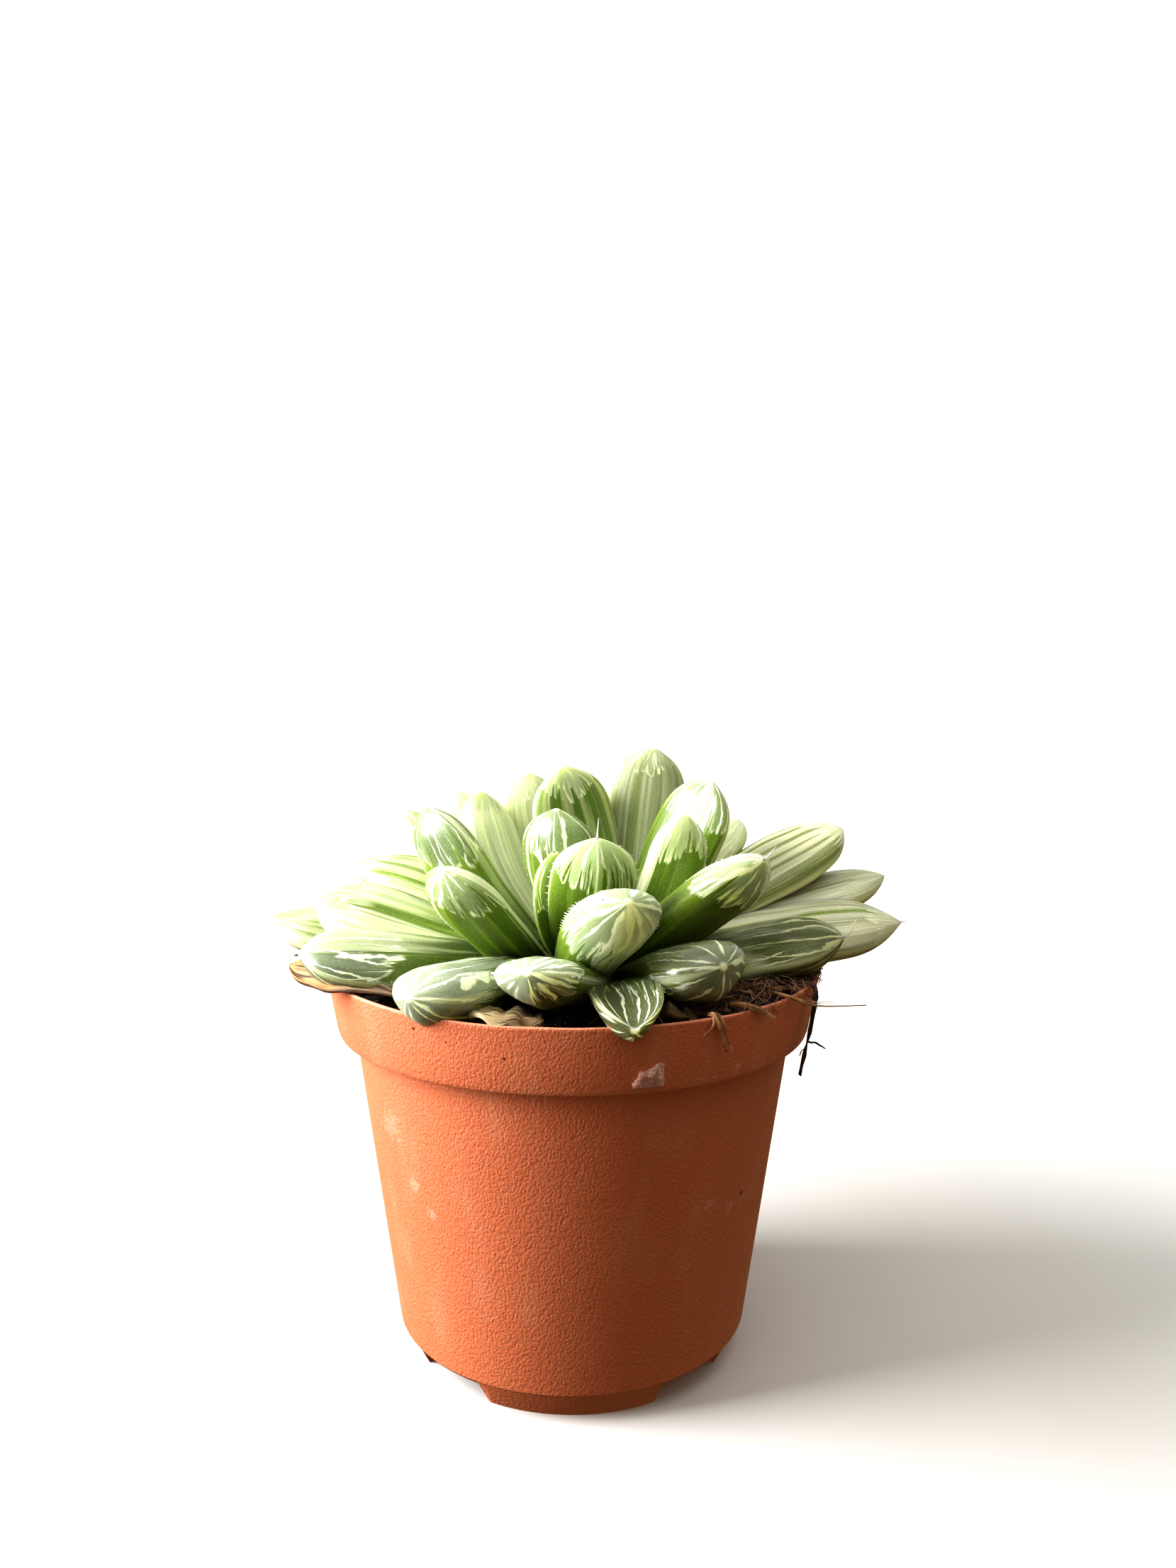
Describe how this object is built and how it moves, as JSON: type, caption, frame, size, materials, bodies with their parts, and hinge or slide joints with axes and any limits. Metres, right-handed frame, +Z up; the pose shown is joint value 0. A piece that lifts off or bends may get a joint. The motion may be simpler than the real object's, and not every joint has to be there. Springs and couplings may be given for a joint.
{
  "type": "potted haworthia",
  "caption": "Clump of thick, pointed, variegated window leaves on a short stem, growing in soil in a small round terracotta-coloured plastic nursery pot that stands on split feet.",
  "frame": {"origin": "on the pot's axis, in the plane that the pot's feet stand on", "axes": "+Z up along the pot's axis, -Y towards the front of the plant as pictured, +X to the viewer's right"},
  "size_m": [0.1148, 0.093, 0.1032],
  "materials": {
    "pot": "satin",
    "leaf": "satin",
    "withered_leaf": "matte",
    "stem": "matte",
    "soil": "matte",
    "fibre": "matte",
    "bark": "matte",
    "tape": "gloss"
  },
  "bodies": {
    "root": {"bark_strip": "bark", "fibre_front_1": "fibre", "fibre_front_2": "fibre", "fibre_front_3": "fibre", "fibre_right_1": "fibre", "fibre_right_long": "fibre", "leaf_back_1": "leaf", "leaf_back_2": "leaf", "leaf_back_3": "leaf", "leaf_back_4": "leaf", "leaf_back_5": "leaf", "leaf_back_6": "leaf", "leaf_back_7": "leaf", "leaf_back_8": "leaf", "leaf_back_left_pale": "leaf", "leaf_back_middle": "leaf", "leaf_back_right_pale": "leaf", "leaf_back_right_upright": "leaf", "leaf_centre_heart": "leaf", "leaf_centre_left": "leaf", "leaf_centre_narrow": "leaf", "leaf_centre_right": "leaf", "leaf_front_left_drooping": "leaf", "leaf_front_left_end_on": "leaf", "leaf_front_left_spoon": "leaf", "leaf_front_pointing": "leaf", "leaf_front_right_glossy": "leaf", "leaf_front_right_spoon": "leaf", "leaf_front_small": "leaf", "leaf_front_upright": "leaf", "leaf_heart_young": "leaf", "leaf_heart_youngest": "leaf", "leaf_left_back_long": "leaf", "leaf_left_back_small": "leaf", "leaf_left_far": "leaf", "leaf_left_keeled": "leaf", "leaf_left_long": "leaf", "leaf_left_low": "leaf", "leaf_left_middle": "leaf", "leaf_left_pale": "leaf", "leaf_right_far": "leaf", "leaf_right_low": "leaf", "leaf_right_middle": "leaf", "leaf_right_under": "leaf", "leaf_right_upper": "leaf", "leaf_tallest": "leaf", "pot": "pot", "soil": "soil", "stem": "stem", "tape_remnant": "tape", "withered_leaf_front": "withered_leaf", "withered_leaf_left": "withered_leaf", "withered_leaf_right": "withered_leaf"}
  },
  "joints": []
}
